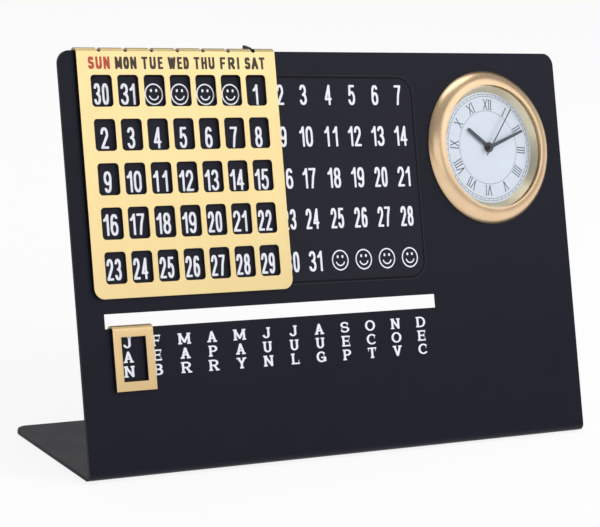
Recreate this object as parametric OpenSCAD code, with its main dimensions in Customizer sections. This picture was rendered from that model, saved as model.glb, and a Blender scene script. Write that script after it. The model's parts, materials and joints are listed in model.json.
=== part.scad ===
// Perpetual desk calendar: a bent sheet stand with a date slider, a month cursor and an inset clock.
// Panel places are given as x from the panel's left edge, y up its front face and z out of that face.

/* [Stand] */
// Thickness of the stand's bent sheet
sheet_t = 1; // [0.8:0.1:1.4]
// Lean of the panel back from upright
lean = 21.6; // [16:0.1:26]
// Depth of the base plate from the bend to the rear edge
base_d = 45.6; // [42:0.1:60]
// Outside radius of the bend between base and panel
bend_r = 2; // [1.6:0.1:4]
// Radius of the panel's two top corners
panel_corner_r = 4; // [2:0.5:6]
// Radius of the base's two rear corners
base_corner_r = 5; // [2:0.5:8]
// Distance from the clock's rim to the panel's right edge
right_margin = 6.1; // [5:0.1:15]
// Height of the clock's centre below the panel's top edge
clock_drop = 30.7; // [29:0.1:36]

/* [Folded slides] */
// Thickness of the gilt sheet of both slides
slide_t = 0.65; // [0.5:0.05:0.8]
// Gap between a slide's plates and the stand's sheet
slide_gap = 0.4; // [0.3:0.05:0.6]
// Height at which a fold hangs above the edge that carries it
seat_gap = 0.08; // [0.05:0.01:0.2]

/* [Date slider] */
// Distance between neighbouring date columns
date_pitch = 9.15; // [8.6:0.05:10]
// Distance between neighbouring date rows
row_pitch = 12.93; // [11.5:0.01:14]
// Weekday columns on the slider
weekdays = 7; // [7]
// Rows of dates
date_rows = 5; // [5]
// Width of one date window
window_w = 7.3; // [6:0.1:8]
// Height of one date window
window_h = 9.4; // [8:0.1:10.5]
// Corner radius of a date window
window_r = 1.2; // [0.4:0.1:2]
// Distance from the first date column to the slider's side edge
slider_side = 7.85; // [6:0.05:10]
// Distance from the panel's left edge to the slider at its first place
slider_start = 5.65; // [4:0.05:10]
// Strip of the slider below its lowest windows
slider_foot = 4.2; // [3:0.1:6]
// Distance from the panel's top edge to the top windows, where the weekday names stand
name_band = 7.3; // [6:0.1:9]
// Radius of the slider's two lower corners
slider_corner_r = 3.3; // [1:0.1:4]
// Length of the slider's comb behind the panel
comb_l = 11; // [7:0.5:16]
// Width of the notches across the fold
notch_w = 1.55; // [1.4:0.05:2]
// Width of the index tongue on the panel's top edge
tongue_w = 1.1; // [0.8:0.05:1.25]
// Reach of the tongue behind its bend
tongue_l = 3; // [2.4:0.1:4]
// Inside radius of the tongue's bend
tongue_bend = 0.5; // [0.4:0.05:0.8]

/* [Date sheet] */
// Thickness of the printed date sheet
print_t = 0.15; // [0.1:0.05:0.25]
// Distance from the outer columns to the sheet's side edges
print_side = 5.9; // [5:0.1:7]
// Distance from the top row to the sheet's top edge
print_head = 4.8; // [4:0.1:6]
// Distance from the bottom row to the sheet's bottom edge
print_foot = 7; // [5:0.1:8]
// Corner radius of the date sheet
print_r = 4; // [1:0.5:5]

/* [Month cursor] */
// Distance between neighbouring month names
month_pitch = 9.93; // [9.5:0.01:10.5]
// Months in the row
months = 12; // [12]
// Width of the month cursor
cursor_w = 13.9; // [12:0.1:16]
// Gap at each end of the slot when the cursor stands at its last place
slot_end_gap = 0.15; // [0.1:0.05:0.5]
// Distance from the panel's left edge to the slot
slot_start = 8.9; // [7:0.1:14]
// Height of the slot's lower edge above the panel's foot
slot_y = 44.15; // [40:0.05:50]
// Height of the slot
slot_h = 4.3; // [3.5:0.1:6]
// Gap between the slot and the slider above it
slot_to_slider = 4.3; // [3:0.1:8]
// Length of the cursor's front plate
cursor_l = 17.75; // [16:0.05:22]
// Width of the cursor's window
cursor_window_w = 8.4; // [7:0.1:9.5]
// Height of the cursor's window
cursor_window_h = 13; // [11:0.1:14]
// Strip of the cursor below its window
cursor_foot = 2.75; // [2:0.05:3.5]
// Length of the cursor's tail behind the panel
cursor_tail = 13; // [8:0.5:18]
// Distance of the cursor right of the first month as it stands
cursor_rest = 1.6; // [0:0.1:4]

/* [Clock face] */
// Width of the bezel's flange over the clock case
flange_w = 3.9; // [3.6:0.05:5]
// Height of the bezel's crown above the panel
bezel_h = 3.2; // [3.1:0.1:4]
// Height of the dial's printed face above the panel
dial_z = 0; // [-0.5:0.05:0]
// Thickness of the dial
dial_t = 0.4; // [0.3:0.05:0.5]
// Radius of the dial that shows
dial_show_r = 18; // [17.4:0.1:18.4]
// Thickness of the lens
lens_t = 0.75; // [0.5:0.05:0.8]
// Turn of the insert in its hole, clockwise from upright
insert_turn = 4.7; // [0:0.1:15]
// Time shown by the hour hand, in degrees on the dial
hour_angle = 302.2; // [0:0.1:360]
// Time shown by the minute hand, in degrees on the dial
minute_angle = 65.5; // [0:0.1:360]
// Time shown by the second hand, in degrees on the dial
second_angle = 33.3; // [0:0.1:360]
// Length of the hour hand from the centre
hour_l = 10.2; // [8:0.1:12]
// Length of the minute hand from the centre
minute_l = 15; // [12:0.1:17]
// Length of the second hand from the centre
second_l = 15.4; // [12:0.1:17]
// Length of the second hand's tail
second_tail = 3.4; // [2:0.1:5]
// Gap between the dial and the hour hand, and between one hand and the next
hand_gap = 0.42; // [0.35:0.01:0.5]
// Thickness of the hour and minute hands
hand_t = 0.2; // [0.15:0.01:0.25]

/* [Clock case] */
// Wall of the clock case
case_wall = 1.3; // [1.1:0.1:2]
// Ledge inside the case that carries the movement
ledge_w = 1; // [0.8:0.1:1.5]
// Room between the timing crystal and the case's back cover
back_room = 0.3; // [0.2:0.1:2]
// Thickness of the case's back cover
cover_t = 1.2; // [1:0.1:2]
// Thickness of the rubber grip ring round the case
grip_t = 1.5; // [1.2:0.1:2]
// Height of the grip ring's lip behind the panel
grip_lip = 0.9; // [0.5:0.1:1.5]
// Length of the grip ring behind the panel
grip_l = 4.5; // [3:0.5:7]
// Radius of the setting knob
knob_r = 4.2; // [3:0.1:5]
// Thickness of the setting knob
knob_t = 1.9; // [1.5:0.1:3]

/* [Movement] */
// Tooth module of the second pinion and the third wheel
third_module = 0.2; // [0.18:0.01:0.22]
// Tooth module of the second wheel and the intermediate pinion
second_module = 0.26; // [0.25:0.005:0.27]
// Tooth module of the intermediate wheel and the rotor pinion
rotor_module = 0.18; // [0.15:0.01:0.2]
// Tooth module of the wheels behind the dial
motion_module = 0.25; // [0.24:0.005:0.27]
// Teeth of the three train pinions and of the minute wheel's pinion
pinion_teeth = 8; // [8]
// Teeth of the intermediate wheel
intermediate_teeth = 40; // [40]
// Teeth of the second wheel
second_teeth = 48; // [48]
// Teeth of the third wheel
third_teeth = 64; // [64]
// Teeth of the centre wheel
centre_teeth = 60; // [60]
// Teeth of the cannon pinion
cannon_teeth = 10; // [10]
// Teeth of the minute wheel
minute_teeth = 30; // [30]
// Teeth of the hour wheel
hour_teeth = 32; // [32]
// Teeth of the setting pinion
setting_teeth = 15; // [15]
// Thickness of the wheels
wheel_t = 0.5; // [0.4:0.05:0.6]
// Radius of the arbors
arbor_r = 0.3; // [0.28:0.01:0.32]
// Radius of the pivots that turn in the plates
pivot_r = 0.2; // [0.16:0.01:0.24]
// Radius of the stud that the minute wheel turns on
stud_r = 0.4; // [0.36:0.01:0.42]
// Running clearance round every turning pivot, tube and arbor
running_gap = 0.05; // [0.03:0.01:0.08]
// Wall of the centre tube and of the hour tube
tube_wall = 0.45; // [0.4:0.01:0.5]
// Radius of the rotor's magnet
magnet_r = 1.6; // [1.3:0.1:1.8]
// Diameter of the button cell
cell_d = 7.9; // [7.5:0.1:8.2]
// Thickness of the button cell
cell_h = 3.6; // [3.2:0.1:3.7]
// Thickness of the movement's two plates
plate_t = 1.1; // [0.9:0.1:1.2]
// Radius of the coil's winding
coil_r = 2; // [1.7:0.1:2.1]
// Length of the coil's winding
coil_l = 10.4; // [9:0.1:11]
// Room round the movement's outermost parts
movement_room = 0.7; // [0.4:0.1:1]

/* [Hidden] */
$fn = 96;

black = "#24262c";
gilt = "#e8cf96";
gilt_dark = "#d9b98a";
brass = "#c8a450";
steel = "#b9bcc2";
moulding = "#33353a";
over = 1;

// Fold that both slides share
fold_in = sheet_t / 2 + slide_gap;
fold_out = fold_in + slide_t;
fold_sink = sqrt(fold_in * fold_in - sheet_t * sheet_t / 4) - seat_gap;
fold_z = -sheet_t / 2;
plate_z = slide_gap;

// Date columns, rows and the slider's places
first_date_x = slider_start + slider_side;
slider_w = (weekdays - 1) * date_pitch + 2 * slider_side;
slider_travel = (weekdays - 1) * date_pitch;
slider_y = slot_y + slot_h + slot_to_slider;
bottom_row_y = slider_y + slider_foot + window_h / 2;
top_row_y = bottom_row_y + (date_rows - 1) * row_pitch;
panel_l = top_row_y + window_h / 2 + name_band;
tongue_x = first_date_x + (weekdays - 1) * date_pitch;

// Month slot and cursor
slot_l = (months - 1) * month_pitch + cursor_w + 2 * slot_end_gap;
first_month_x = slot_start + slot_end_gap + cursor_w / 2;

// Bend between base and panel
bend_turn = 90 + lean;
bend_steps = 24;
rear_corner = base_corner_r - 0.02;
bend_tangent = bend_r * tan(bend_turn / 2);
foot_y = -base_d / 2 - (bend_tangent - bend_r);

// Gear train: centre distances, places and levels
addendum = 0.9;
dedendum = 1.25;
function gear_r(teeth, module_size) = teeth * module_size / 2;
function tip_r(teeth, module_size) = gear_r(teeth, module_size) + addendum * module_size;
function root_r(teeth, module_size) = gear_r(teeth, module_size) - dedendum * module_size;
function polar(r, angle) = [r * cos(angle), r * sin(angle)];
function mesh_phase(angle, phase, teeth, other) =
    angle + 180 - (360 / other) * (0.5 - (angle - phase) * teeth / 360);

third_distance = gear_r(pinion_teeth + third_teeth, third_module);
centre_module = third_distance * 2 / (pinion_teeth + centre_teeth);
second_distance = gear_r(pinion_teeth + second_teeth, second_module);
rotor_distance = gear_r(pinion_teeth + intermediate_teeth, rotor_module);
motion_distance = gear_r(cannon_teeth + minute_teeth, motion_module);
hour_module = motion_distance * 2 / (pinion_teeth + hour_teeth);
setting_distance = gear_r(minute_teeth + setting_teeth, motion_module);

third_angle = 200;
second_mesh_angle = 60;
rotor_mesh_angle = 120;
motion_angle = 250;
setting_angle = 250;
third_place = polar(third_distance, third_angle);
intermediate_place = polar(second_distance, second_mesh_angle);
rotor_place = intermediate_place + polar(rotor_distance, rotor_mesh_angle);
minute_place = polar(motion_distance, motion_angle);
setting_place = minute_place + polar(setting_distance, setting_angle);

third_phase = mesh_phase(third_angle, 0, pinion_teeth, third_teeth);
centre_phase = mesh_phase(third_angle + 180, 0, pinion_teeth, centre_teeth);
intermediate_phase = mesh_phase(second_mesh_angle, 0, second_teeth, pinion_teeth);
rotor_phase = mesh_phase(rotor_mesh_angle, 0, intermediate_teeth, pinion_teeth);
minute_phase = mesh_phase(motion_angle, 0, cannon_teeth, minute_teeth);
hour_phase = mesh_phase(motion_angle + 180, 0, pinion_teeth, hour_teeth);
setting_phase = mesh_phase(setting_angle, minute_phase, minute_teeth, setting_teeth);

// Tubes on the clock's axis, from the inside out
centre_bore = arbor_r + running_gap;
centre_tube_r = centre_bore + tube_wall;
hour_bore = centre_tube_r + running_gap;
hour_tube_r = hour_bore + tube_wall;
dial_hole_gap = 0.25;
dial_hole_r = hour_tube_r + dial_hole_gap;
lens_lap = 2.2;
lens_r = dial_show_r + lens_lap;
press_gap = 0.01;

// Levels above the panel's front face: face side
hour_z = dial_z + hand_gap;
minute_z = hour_z + hand_t + hand_gap;
second_z = minute_z + hand_t + hand_gap;
second_t = 0.15;
arbor_over = 0.08;
arbor_tip_z = second_z + second_t + arbor_over;
lens_gap = 0.2;
lens_z = arbor_tip_z + lens_gap;
dial_back_z = dial_z - dial_t;

// Levels behind the dial: motion work, plate, train and bridge
level_gap = 0.6;
plate_gap = 0.15;
centre_gap = 0.55;
third_gap = 0.95;
second_gap = 0.75;
bridge_gap = 0.45;
hour_wheel_z = dial_back_z - level_gap - wheel_t;
minute_wheel_z = hour_wheel_z - bridge_gap - wheel_t;
plate_z1 = minute_wheel_z - plate_gap;
plate_z0 = plate_z1 - plate_t;
centre_wheel_z = plate_z0 - centre_gap - wheel_t;
third_wheel_z = centre_wheel_z - third_gap - wheel_t;
second_wheel_z = third_wheel_z - second_gap - wheel_t;
intermediate_wheel_z = second_wheel_z - level_gap - wheel_t;
bridge_z1 = intermediate_wheel_z - bridge_gap;
bridge_z0 = bridge_z1 - plate_t;
pinion_over = 0.15;
shoulder_gap = 0.1;
pivot_l = 0.7;

// Case, battery and coil places
cell_gap = 0.15;
cup_wall = 0.85;
cup_r = cell_d / 2 + cell_gap + cup_wall;
cup_floor_t = 0.6;
train_r = max(tip_r(centre_teeth, centre_module), tip_r(second_teeth, second_module));
cup_room = 1.5;
battery_distance = train_r + cup_room + cup_r;
battery_angle = -46.5;
battery_place = polar(battery_distance, battery_angle);
stator_t = 0.6;
stator_z = third_wheel_z - shoulder_gap - stator_t;
magnet_gap = 0.3;
stator_rim = 0.25;
stator_hole_r = magnet_r + magnet_gap;
stator_y0 = rotor_place[1] - stator_hole_r - stator_rim;
stator_y1 = rotor_place[1] + stator_hole_r + stator_rim;
core_w = 1.6;
core_t = 0.8;
bobbin_t = 0.4;
bobbin_wall = 0.15;
bobbin_r = norm([core_w, core_t]) / 2 + bobbin_wall;
coil_gap = 0.6;
coil_y = stator_y1 + coil_gap + coil_r;
stator_leg_w = 2;
leg_gap = 0.4;
stator_half = coil_l / 2 + bobbin_t + leg_gap + stator_leg_w;
stator_top = coil_y + core_w / 2 + leg_gap;
coil_z = stator_z + stator_t + core_t / 2;
movement_r = max(
    battery_distance + cup_r,
    norm([stator_half, stator_top]),
    third_distance + tip_r(third_teeth, third_module)
) + movement_room;
plate_room = 0.15;
plate_r = movement_r + ledge_w - plate_room;
case_in_r = movement_r + ledge_w;
case_r = case_in_r + case_wall;
bezel_r = case_r + flange_w;
grip_r = case_r + grip_t;
hole_r = grip_r + running_gap;
pillar_r = 1.3;
pillar_inset = 0.9;
pillar_ring = movement_r - pillar_r - pillar_inset;
pillar_angles = [-5, 150, 245];
screw_r = 0.5;
screw_head_r = 1;
screw_head_t = 0.5;
screw_gap = 0.05;
screw_tip_room = 0.5;
cover_screw_l = 3.5;
bridge_screw_l = 2.5;
can_r = 1;
board_t = 0.6;
cover_z1 = bridge_z0 - board_t - 2 * can_r - back_room;
cover_z0 = cover_z1 - cover_t;
cover_screw_angles = [90, 210, 330];
cover_screw_ring = (movement_r + case_r) / 2;
cup_lift = 0.9;
cup_floor_z = bridge_z1 + cup_lift;
minus_t = 0.15;
cell_z1 = cup_floor_z - minus_t - press_gap;
cell_z0 = cell_z1 - cell_h;
hatch_r = cup_r;
leaf_t = 0.2;
plus_z = cell_z0 - leaf_t - press_gap;
knob_arbor_r = 0.5;
knob_gap = 0.3;
board_w = 11;
board_h = 8.5;
board_x = -13.5;
board_y = -3;
can_inset = 0.6;

clock_gap = 3.1;
clock_x = slider_start + slider_w + slider_travel + clock_gap + bezel_r;
clock_y = panel_l - clock_drop;
panel_w = clock_x + bezel_r + right_margin;

// Places a child in the panel's own frame
module on_panel() {
    translate([-panel_w / 2, foot_y, 0])
        rotate([90 - lean, 0, 0])
            children();
}

// Places a child on the clock's axis, turned as the insert sits in its hole
module in_clock() {
    on_panel()
        translate([clock_x, clock_y, 0])
            rotate([0, 0, -insert_turn])
                children();
}

module rounded_rect(w, h, r) {
    translate([r, 0]) square([w - 2 * r, h]);
    translate([0, r]) square([w, h - 2 * r]);
    for (x = [r, w - r], y = [r, h - r])
        translate([x, y]) circle(r);
}

// Square corner less its quarter round, for cutting a corner off a plate
module corner_cut(r, t) {
    translate([0, 0, -t - over])
        linear_extrude(t + 2 * over)
            difference() {
                square(r + over);
                circle(r);
            }
}

// Part of a bent sheet between two directions round the origin
module bend_sector(r, t, from, to) {
    reach = 4 * r;
    middle = (from + to) / 2;
    intersection() {
        difference() {
            circle(r);
            circle(r - t);
        }
        polygon([[0, 0], polar(reach, from), polar(reach, middle), polar(reach, to)]);
    }
}

// Section of the stand: panel, bend and base, with x up the panel's face and y out of it
module stand_section() {
    centre = [bend_tangent, -bend_r];
    rear = polar(base_d / 2 - foot_y, lean - 90);
    turn = [for (i = [0:bend_steps]) 90 + i * bend_turn / bend_steps];
    polygon(concat(
        [for (a = turn) centre + polar(bend_r, a)],
        [rear, rear + polar(sheet_t, lean)],
        [for (i = [bend_steps:-1:0]) centre + polar(bend_r - sheet_t, turn[i])],
        [[panel_l, -sheet_t], [panel_l, 0]]
    ));
}

// Tongue bent back level from the panel's top edge, which the slider's notches straddle
module index_tongue() {
    r = tongue_bend + sheet_t;
    translate([tongue_x, panel_l, -r]) {
        translate([-tongue_w / 2, 0, 0])
            rotate([90, 0, 90])
                linear_extrude(tongue_w) {
                    bend_sector(r, sheet_t, lean, 90);
                    translate([-over, tongue_bend]) square([over, sheet_t]);
                }
        rotate([lean, 0, 0]) {
            translate([-tongue_w / 2, tongue_bend, tongue_w / 2 - tongue_l])
                cube([tongue_w, sheet_t, tongue_l - tongue_w / 2]);
            translate([0, tongue_bend, tongue_w / 2 - tongue_l])
                rotate([-90, 0, 0])
                    cylinder(r = tongue_w / 2, h = sheet_t);
        }
    }
}

module stand() {
    color(black) {
        difference() {
            on_panel()
                rotate([90, 0, 90])
                    linear_extrude(panel_w)
                        stand_section();
            on_panel() {
                translate([slot_start, slot_y, -sheet_t - over])
                    cube([slot_l, slot_h, sheet_t + 2 * over]);
                translate([clock_x, clock_y, -sheet_t - over])
                    cylinder(r = hole_r, h = sheet_t + 2 * over);
                translate([panel_w - panel_corner_r, panel_l - panel_corner_r, 0])
                    corner_cut(panel_corner_r, sheet_t);
                translate([panel_corner_r, panel_l - panel_corner_r, 0])
                    mirror([1, 0, 0])
                        corner_cut(panel_corner_r, sheet_t);
            }
            for (side = [0, 1])
                mirror([side, 0, 0])
                    translate([panel_w / 2 - rear_corner, base_d / 2 - rear_corner, sheet_t])
                        corner_cut(base_corner_r, sheet_t);
        }
        on_panel() index_tongue();
    }
}

module date_sheet() {
    w = (2 * weekdays - 2) * date_pitch + 2 * print_side;
    h = (date_rows - 1) * row_pitch + print_head + print_foot;
    color(black)
        on_panel()
            translate([first_date_x - print_side, bottom_row_y - print_foot, press_gap])
                linear_extrude(print_t)
                    rounded_rect(w, h, print_r);
}

// Fold over an edge, with its centre line on x, and a tail of the given length behind the panel
module fold(w, tail) {
    rotate([90, 0, 90])
        linear_extrude(w) {
            bend_sector(fold_out, slide_t, 0, 90);
            bend_sector(fold_out, slide_t, -90, 0);
        }
    translate([0, -tail, -fold_out])
        cube([w, tail, slide_t]);
}

module notches(w) {
    for (i = [0:weekdays - 1])
        translate([slider_side + i * date_pitch, 0, 0]) {
            translate([0, w / 2 + seat_gap, 0])
                cylinder(r = w / 2, h = fold_out + over);
            translate([-w / 2, w / 2 + seat_gap, 0])
                cube([w, fold_out + over, fold_out + over]);
            translate([-w / 2, -comb_l - over, -fold_out - over])
                cube([w, comb_l + fold_out + 2 * over, fold_out + over]);
        }
}

module date_slider() {
    plate_l = panel_l - fold_sink - slider_y;
    color(gilt)
        on_panel()
            translate([slider_start, slider_y, 0])
                difference() {
                    union() {
                        translate([0, 0, plate_z])
                            linear_extrude(slide_t)
                                difference() {
                                    union() {
                                        rounded_rect(slider_w, plate_l, slider_corner_r);
                                        translate([0, plate_l / 2])
                                            square([slider_w, plate_l / 2]);
                                    }
                                    for (i = [0:weekdays - 1], j = [0:date_rows - 1])
                                        translate([
                                            slider_side + i * date_pitch - window_w / 2,
                                            slider_foot + j * row_pitch
                                        ])
                                            rounded_rect(window_w, window_h, window_r);
                                }
                        translate([0, plate_l, fold_z])
                            fold(slider_w, comb_l);
                    }
                    translate([0, plate_l, fold_z])
                        notches(notch_w);
                }
}

module month_cursor() {
    color(gilt)
        on_panel()
            translate([first_month_x + cursor_rest - cursor_w / 2, slot_y - fold_sink - cursor_l, 0]) {
                translate([0, 0, plate_z])
                    linear_extrude(slide_t)
                        difference() {
                            square([cursor_w, cursor_l]);
                            translate([(cursor_w - cursor_window_w) / 2, cursor_foot])
                                square([cursor_window_w, cursor_window_h]);
                        }
                translate([0, cursor_l, fold_z])
                    fold(cursor_w, cursor_tail);
            }
}

// Crowned ring: an arc from its outer skirt to its inner lip, with pockets for lens, ring and dial
module clock_bezel() {
    lip_w = 0.3;
    lip_r = lens_r - lip_w;
    skirt = 0.3;
    bulge = 1.04;
    crown_r = flange_w + bulge;
    crown_x = bezel_r - sqrt(crown_r * crown_r - pow(bezel_h - crown_r - skirt, 2));
    color(gilt_dark)
        in_clock()
            rotate_extrude()
                difference() {
                    intersection() {
                        translate([crown_x, bezel_h - crown_r]) circle(crown_r);
                        translate([lip_r, press_gap]) square([bezel_r - lip_r, bezel_h]);
                    }
                    translate([0, -over]) square([lens_r + running_gap, lens_z + lens_t + over]);
                }
}

module clock_lens() {
    color("white", 0.3)
        in_clock()
            translate([0, 0, lens_z])
                cylinder(r = lens_r, h = lens_t);
}

// Gilt ring that holds the lens off the dial and slopes down to the dial's edge
module lens_ring() {
    top = lens_z - press_gap;
    foot = dial_z + press_gap;
    slope_w = 1.5;
    color(gilt_dark)
        in_clock()
            rotate_extrude()
                polygon([
                    [dial_show_r, foot],
                    [lens_r, foot],
                    [lens_r, top],
                    [dial_show_r + slope_w, top]
                ]);
}

module dial() {
    color("aliceblue")
        in_clock()
            translate([0, 0, dial_back_z])
                difference() {
                    cylinder(r = case_r, h = dial_t);
                    translate([0, 0, -over]) cylinder(r = dial_hole_r, h = dial_t + 2 * over);
                }
}

// Straight hand along y with a round hub and a round tip
module hand(length, hub_r, root_w, tip_w, bore_r, t) {
    linear_extrude(t)
        difference() {
            union() {
                circle(hub_r);
                polygon([
                    [-root_w / 2, 0],
                    [root_w / 2, 0],
                    [tip_w / 2, length - tip_w / 2],
                    [-tip_w / 2, length - tip_w / 2]
                ]);
                translate([0, length - tip_w / 2]) circle(tip_w / 2);
            }
            circle(bore_r);
        }
}

module hour_hand() {
    hub_w = 0.35;
    root_w = 1.35;
    tip_w = 1.1;
    color("dimgray")
        in_clock()
            translate([0, 0, hour_z])
                rotate([0, 0, -hour_angle])
                    hand(hour_l, hour_tube_r + hub_w, root_w, tip_w, hour_tube_r + press_gap, hand_t);
}

module minute_hand() {
    hub_w = 0.5;
    root_w = 1.2;
    tip_w = 0.8;
    color("dimgray")
        in_clock()
            translate([0, 0, minute_z])
                rotate([0, 0, -minute_angle])
                    hand(minute_l, centre_tube_r + hub_w, root_w, tip_w, centre_tube_r + press_gap, hand_t);
}

module second_hand() {
    w = 0.34;
    hub_w = 0.55;
    color("dimgray")
        in_clock()
            translate([0, 0, second_z])
                rotate([0, 0, -second_angle])
                    linear_extrude(second_t)
                        difference() {
                            union() {
                                circle(arbor_r + hub_w);
                                translate([-w / 2, -second_tail])
                                    square([w, second_tail + second_l]);
                            }
                            circle(arbor_r + press_gap);
                        }
}

module ring(r, bore, h) {
    difference() {
        cylinder(r = r, h = h);
        translate([0, 0, -over]) cylinder(r = bore, h = h + 2 * over);
    }
}

module at_angles(angles, r) {
    for (a = angles)
        rotate([0, 0, a])
            translate([r, 0, 0])
                children();
}

module clock_case() {
    depth = dial_back_z - cover_z1;
    color(moulding)
        in_clock()
            translate([0, 0, cover_z1])
                difference() {
                    cylinder(r = case_r, h = depth);
                    translate([0, 0, -over]) cylinder(r = movement_r, h = depth + 2 * over);
                    translate([0, 0, plate_z0 - press_gap - cover_z1])
                        cylinder(r = case_in_r, h = depth);
                    at_angles(cover_screw_angles, cover_screw_ring)
                        translate([0, 0, -over])
                            cylinder(r = screw_r + screw_gap, h = cover_screw_l + screw_tip_room + over);
                }
}

// Rubber ring that fills the panel's hole, with a tapering lip behind the panel
module grip_ring() {
    lip_z = -sheet_t - running_gap;
    lip_slope = 0.5;
    lip_h = 1.3;
    color("black")
        in_clock()
            rotate_extrude()
                polygon([
                    [case_r + press_gap, -press_gap],
                    [grip_r, -press_gap],
                    [grip_r, lip_z],
                    [grip_r + grip_lip, lip_z - lip_slope],
                    [grip_r + grip_lip, lip_z - lip_h],
                    [grip_r, -sheet_t - grip_l],
                    [case_r + press_gap, -sheet_t - grip_l]
                ]);
}

module back_cover() {
    rim_h = 0.9;
    rim_w = 1;
    rim_r = movement_r - running_gap;
    color(moulding)
        in_clock()
            difference() {
                union() {
                    translate([0, 0, cover_z0]) cylinder(r = case_r, h = cover_t);
                    translate([0, 0, cover_z1 - press_gap])
                        ring(rim_r, rim_r - rim_w, rim_h);
                }
                translate([battery_place[0], battery_place[1], cover_z0 - over])
                    cylinder(r = hatch_r + running_gap, h = cover_t + rim_h + 2 * over);
                translate([setting_place[0], setting_place[1], cover_z0 - over])
                    cylinder(r = knob_arbor_r + running_gap, h = cover_t + 2 * over);
                at_angles(cover_screw_angles, cover_screw_ring)
                    translate([0, 0, cover_z0 - over])
                        cylinder(r = screw_r + screw_gap, h = cover_t + 2 * over);
            }
}

// Small cross-head screw with its head below z and its shank above
module screw(shank_l) {
    slot_w = 0.3;
    cross_l = 1.4 * screw_head_r;
    difference() {
        translate([0, 0, -screw_head_t]) cylinder(r = screw_head_r, h = screw_head_t);
        for (a = [0, 90])
            rotate([0, 0, a])
                translate([-cross_l / 2, -slot_w / 2, -screw_head_t - over])
                    cube([cross_l, slot_w, over + screw_head_t / 2]);
    }
    cylinder(r = screw_r, h = shank_l);
}

module cover_screws() {
    color(steel)
        in_clock()
            at_angles(cover_screw_angles, cover_screw_ring)
                translate([0, 0, cover_z0 - press_gap])
                    screw(cover_t + cover_screw_l);
}

// Round battery hatch with a slot for a coin
module battery_hatch() {
    slot_w = 1.2;
    slot_l = 1.5 * hatch_r;
    boss_inset = 0.8;
    color(moulding)
        in_clock()
            translate([battery_place[0], battery_place[1], cover_z0])
                difference() {
                    union() {
                        cylinder(r = hatch_r, h = cover_t);
                        cylinder(r = cell_d / 2 - boss_inset, h = plus_z - press_gap - cover_z0);
                    }
                    translate([-slot_l / 2, -slot_w / 2, -over])
                        cube([slot_l, slot_w, over + cover_t / 2]);
                }
}

// Knurled setting knob and its arbor, which runs through to the setting pinion
module set_knob() {
    ribs = 24;
    groove_r = 0.35;
    groove_out = 0.15;
    dish_rim = 1.2;
    dish_depth = 0.4;
    collar_w = 0.6;
    collar_h = 1.2;
    knob_z1 = cover_z0 - knob_gap;
    knob_z0 = knob_z1 - knob_t;
    top = minute_wheel_z + wheel_t + arbor_r;
    color(moulding)
        in_clock()
            translate([setting_place[0], setting_place[1], 0]) {
                difference() {
                    translate([0, 0, knob_z0]) cylinder(r = knob_r, h = knob_t);
                    for (i = [0:ribs - 1])
                        rotate([0, 0, i * 360 / ribs])
                            translate([knob_r + groove_out, 0, knob_z0 - over])
                                cylinder(r = groove_r, h = knob_t + 2 * over);
                    translate([0, 0, knob_z0 - over])
                        cylinder(r = knob_r - dish_rim, h = over + dish_depth);
                }
                translate([0, 0, knob_z1 - press_gap])
                    cylinder(r = knob_arbor_r, h = top - knob_z1 + press_gap);
                translate([0, 0, bridge_z0 - shoulder_gap - collar_h])
                    cylinder(r = knob_arbor_r + collar_w, h = collar_h);
            }
}

// Disc gear with straight-flanked teeth, one tooth centred on the phase angle
module gear(teeth, module_size, phase, t, half_tooth = 0.22, half_tip = 0.1) {
    r = gear_r(teeth, module_size);
    root = root_r(teeth, module_size);
    tip = tip_r(teeth, module_size);
    steps = [[root, -half_tooth], [r, -half_tooth], [tip, -half_tip],
             [tip, half_tip], [r, half_tooth], [root, half_tooth]];
    linear_extrude(t)
        polygon([
            for (i = [0:teeth - 1], p = steps)
                polar(p[0], phase + (i + p[1]) * 360 / teeth)
        ]);
}

module pinion(teeth, module_size, phase, t) {
    gear(teeth, module_size, phase, t, 0.17, 0.07);
}

// Arbor between the plates, with a pivot at each end
module arbor() {
    front = plate_z0 - shoulder_gap;
    rear = bridge_z1 + shoulder_gap;
    translate([0, 0, rear]) cylinder(r = arbor_r, h = front - rear);
    translate([0, 0, rear - pivot_l]) cylinder(r = pivot_r, h = front - rear + 2 * pivot_l);
}

module rotor() {
    magnet_over = 0.4;
    color(steel)
        in_clock()
            translate([rotor_place[0], rotor_place[1], 0]) {
                arbor();
                translate([0, 0, stator_z - magnet_over])
                    cylinder(r = magnet_r, h = stator_t + 2 * magnet_over);
                translate([0, 0, intermediate_wheel_z - pinion_over])
                    pinion(pinion_teeth, rotor_module, rotor_phase, wheel_t + 2 * pinion_over);
            }
}

module intermediate_wheel() {
    color("ivory")
        in_clock()
            translate([intermediate_place[0], intermediate_place[1], 0]) {
                arbor();
                translate([0, 0, intermediate_wheel_z])
                    gear(intermediate_teeth, rotor_module, 0, wheel_t);
                translate([0, 0, second_wheel_z - pinion_over])
                    pinion(pinion_teeth, second_module, intermediate_phase, wheel_t + 2 * pinion_over);
            }
}

module second_wheel() {
    rear = bridge_z1 + shoulder_gap;
    color("ivory")
        in_clock() {
            translate([0, 0, rear]) cylinder(r = arbor_r, h = arbor_tip_z - rear);
            translate([0, 0, rear - pivot_l]) cylinder(r = pivot_r, h = 2 * pivot_l);
            translate([0, 0, second_wheel_z]) gear(second_teeth, second_module, 0, wheel_t);
            translate([0, 0, third_wheel_z - pinion_over])
                pinion(pinion_teeth, third_module, 0, wheel_t + 2 * pinion_over);
        }
}

module third_wheel() {
    color("ivory")
        in_clock()
            translate([third_place[0], third_place[1], 0]) {
                arbor();
                translate([0, 0, third_wheel_z])
                    gear(third_teeth, third_module, third_phase, wheel_t);
                translate([0, 0, centre_wheel_z - pinion_over])
                    pinion(pinion_teeth, centre_module, 0, wheel_t + 2 * pinion_over);
            }
}

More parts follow.
